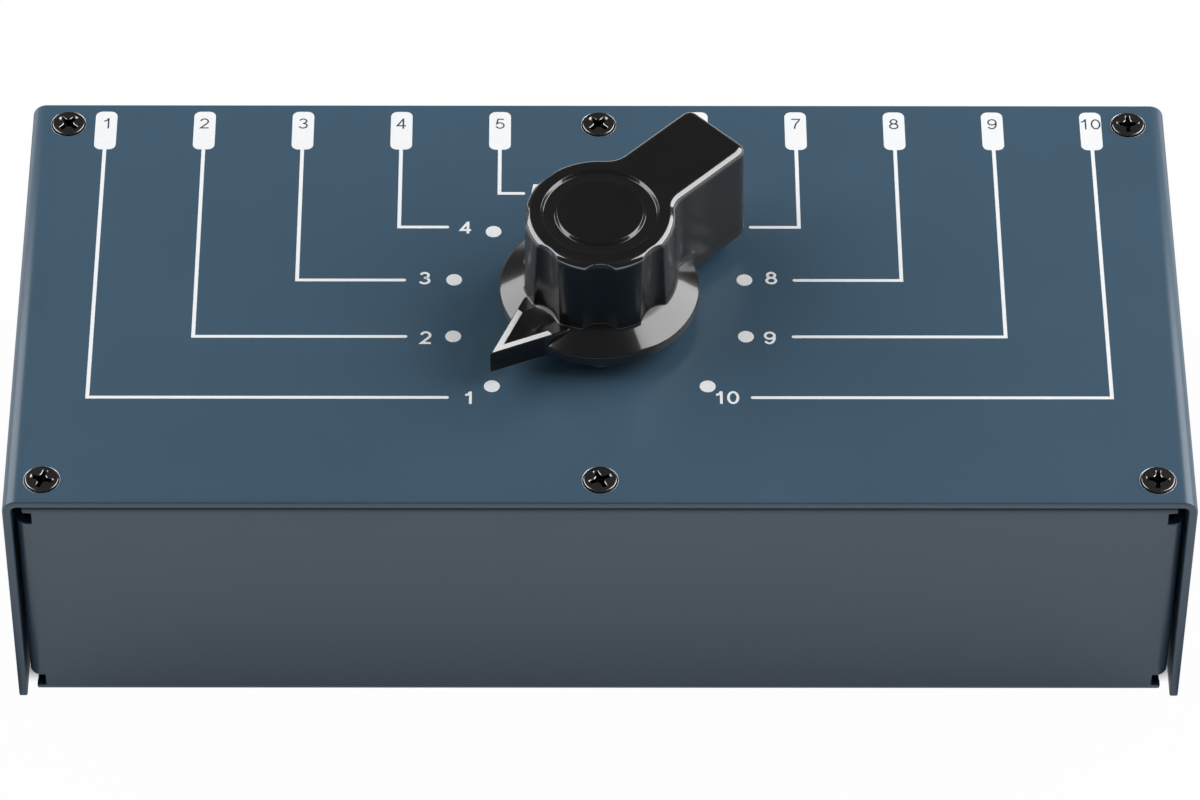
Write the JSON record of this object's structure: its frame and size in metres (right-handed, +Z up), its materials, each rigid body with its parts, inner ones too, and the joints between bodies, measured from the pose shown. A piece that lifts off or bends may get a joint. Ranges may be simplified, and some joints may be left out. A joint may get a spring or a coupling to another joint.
{
  "type": "audio switch box",
  "caption": "Folded sheet-metal audio switch box with a large rotary selector knob on top and rows of phone jack sockets along its rear wall.",
  "frame": {"origin": "under the middle of the whole box, on the surface that the feet stand on", "axes": "+X to the right along the width, +Y to the rear where the sockets are, +Z up along the knob's axis"},
  "size_m": [0.22, 0.1076, 0.0837],
  "materials": {
    "panel_paint": "satin grey-blue paint on steel sheet",
    "chassis_paint": "satin grey paint on steel sheet",
    "black_screw": "black finish, light worn rims",
    "zinc_steel": "zinc plated",
    "polished_steel": "bright nickel",
    "brass": "turned brass",
    "housing_plastic": "moulded dark grey",
    "nylon": "natural nylon",
    "wafer_board": "brown laminate",
    "contact_metal": "plated spring brass",
    "circuit_board": "green solder mask",
    "ribbon_jacket": "grey ribbon jacket",
    "nickel": "nickel plated brass",
    "jack_plastic": "moulded black",
    "foot_rubber": "moulded black rubber",
    "knob_plastic": "glossy black moulding",
    "white_inlay": "white filled engraving"
  },
  "bodies": {
    "case": {"top_cover": "panel_paint", "chassis": "chassis_paint", "cover_screws": "black_screw", "clinch_nuts": "zinc_steel", "switch_plate": "zinc_steel", "switch_bush": "brass", "switch_screws": "polished_steel", "detent_housing": "housing_plastic", "detent_ball": "polished_steel", "detent_spring": "zinc_steel", "wafer_left": "wafer_board", "wafer_right": "wafer_board", "wafer_contacts": "contact_metal", "wafer_spacers": "zinc_steel", "tie_rods": "zinc_steel", "tie_rod_nuts": "zinc_steel", "jack_board": "circuit_board", "ribbon_left": "ribbon_jacket", "ribbon_right": "ribbon_jacket", "jack_nuts": "nickel", "jack_washers": "nickel", "jack_pins": "contact_metal", "rubber_foot_front_left": "foot_rubber", "rubber_foot_front_right": "foot_rubber", "rubber_foot_rear_left": "foot_rubber", "rubber_foot_rear_right": "foot_rubber", "input_1_left_jack": "jack_plastic", "input_1_right_jack": "jack_plastic", "input_2_left_jack": "jack_plastic", "input_2_right_jack": "jack_plastic", "input_3_left_jack": "jack_plastic", "input_3_right_jack": "jack_plastic", "input_4_left_jack": "jack_plastic", "input_4_right_jack": "jack_plastic", "input_5_left_jack": "jack_plastic", "input_5_right_jack": "jack_plastic", "output_left_jack": "jack_plastic", "output_right_jack": "jack_plastic", "input_6_left_jack": "jack_plastic", "input_6_right_jack": "jack_plastic", "input_7_left_jack": "jack_plastic", "input_7_right_jack": "jack_plastic", "input_8_left_jack": "jack_plastic", "input_8_right_jack": "jack_plastic", "input_9_left_jack": "jack_plastic", "input_9_right_jack": "jack_plastic", "input_10_left_jack": "jack_plastic", "input_10_right_jack": "jack_plastic"},
    "selector": {"knob": "knob_plastic", "pointer_inlay": "white_inlay", "knob_insert": "brass", "knob_set_screw": "black_screw", "switch_shaft": "zinc_steel", "shaft_ring": "zinc_steel", "detent_wheel": "nylon", "rotor_left": "nylon", "rotor_right": "nylon", "rotor_blade_left": "contact_metal", "rotor_blade_right": "contact_metal"}
  },
  "joints": [
    {"name": "selector_turn", "type": "hinge", "parent": "case", "child": "selector", "pos_m": [0, -0.0044, 0.0577], "axis": [0, 0, -1], "range_deg": [0, 270]}
  ]
}
